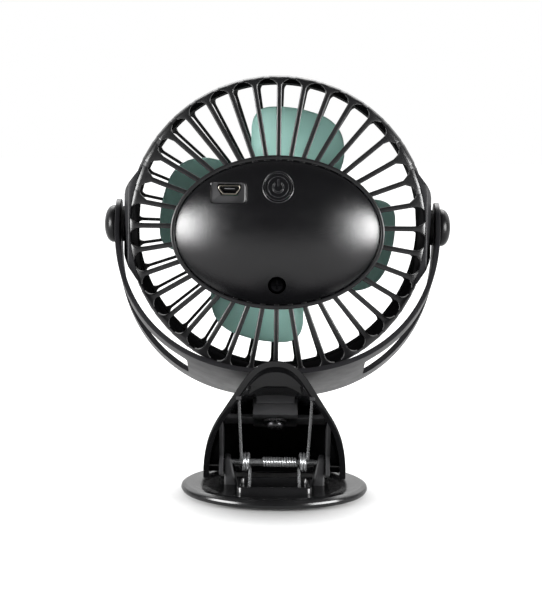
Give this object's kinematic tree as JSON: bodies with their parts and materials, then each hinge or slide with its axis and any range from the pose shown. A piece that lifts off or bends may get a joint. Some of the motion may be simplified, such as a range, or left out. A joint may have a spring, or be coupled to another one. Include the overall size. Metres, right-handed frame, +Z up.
{
  "type": "clip fan",
  "caption": "Small round battery fan in a leaning yoke that swivels on a sprung clip with an oval base, seen from behind.",
  "frame": {"origin": "middle of the foot pad's flat underside, on the table", "axes": "+Z up; +Y the way the air blows, away from the battery cover; +X to the right of someone looking along +Y"},
  "size_m": [0.1212, 0.0697, 0.1435],
  "materials": {
    "satin_black": "satin black moulded plastic",
    "satin_grey": "satin dark grey plastic with a very fine grain",
    "gloss_black": "glossy black moulded plastic",
    "rubber": "matte black rubber",
    "steel": "bright zinc plated steel",
    "dark_steel": "blackened steel",
    "socket_metal": "pale plated sheet metal",
    "teal": "pale teal satin plastic",
    "cell": "smooth blue sleeve over a metal can",
    "board": "green solder mask"
  },
  "bodies": {
    "clip_base": {"base_plate": "gloss_black", "foot_pad": "rubber", "lower_jaw_pad": "rubber", "hinge_pin": "steel", "torsion_spring_left": "steel", "torsion_spring_right": "steel", "spacer_coil": "steel"},
    "clip_jaw": {"upper_jaw": "gloss_black", "upper_jaw_pad": "rubber"},
    "yoke_arm": {"yoke": "satin_black", "swivel_washer": "steel", "swivel_screw": "steel", "pivot_knob_left": "satin_black", "pivot_knob_right": "satin_black"},
    "fan_head": {"rear_grille": "satin_black", "housing_ring": "satin_black", "battery_tray": "satin_black", "front_grille": "satin_black", "rear_cover": "satin_grey", "usb_socket": "socket_metal", "circuit_board": "board", "tact_switch": "satin_black", "cover_screw": "dark_steel", "battery_cell": "cell", "motor_can": "steel", "friction_washer_left": "rubber", "friction_washer_right": "rubber", "pivot_screw_left": "steel", "pivot_screw_right": "steel"},
    "power_key": {"power_button": "satin_grey"},
    "fan_rotor": {"impeller": "teal", "motor_shaft": "steel"}
  },
  "joints": [
    {"name": "clip_open", "type": "hinge", "parent": "clip_base", "child": "clip_jaw", "pos_m": [0, 0.0025, 0.01], "axis": [1, 0, 0], "range_deg": [0, 42], "stiffness_Nm_per_rad": 0.6, "springref_deg": -20.05, "deforming": ["torsion_spring_left", "torsion_spring_right"]},
    {"name": "yoke_swivel", "type": "hinge", "parent": "clip_jaw", "child": "yoke_arm", "pos_m": [0, 0.0195, 0.091], "axis": [0, 0.3795, 0.9252], "continuous": true},
    {"name": "head_tilt", "type": "hinge", "parent": "yoke_arm", "child": "fan_head", "pos_m": [0, 0.0195, 0.091], "axis": [1, 0, 0], "continuous": true},
    {"name": "impeller_spin", "type": "hinge", "parent": "fan_head", "child": "fan_rotor", "pos_m": [0, 0.0195, 0.091], "axis": [0, 0.9993, -0.0366], "continuous": true},
    {"name": "power_button_press", "type": "slide", "parent": "fan_head", "child": "power_key", "axis": [0, 0.9993, -0.0366], "range_m": [0, 0.0006], "stiffness_N_per_m": 800}
  ]
}
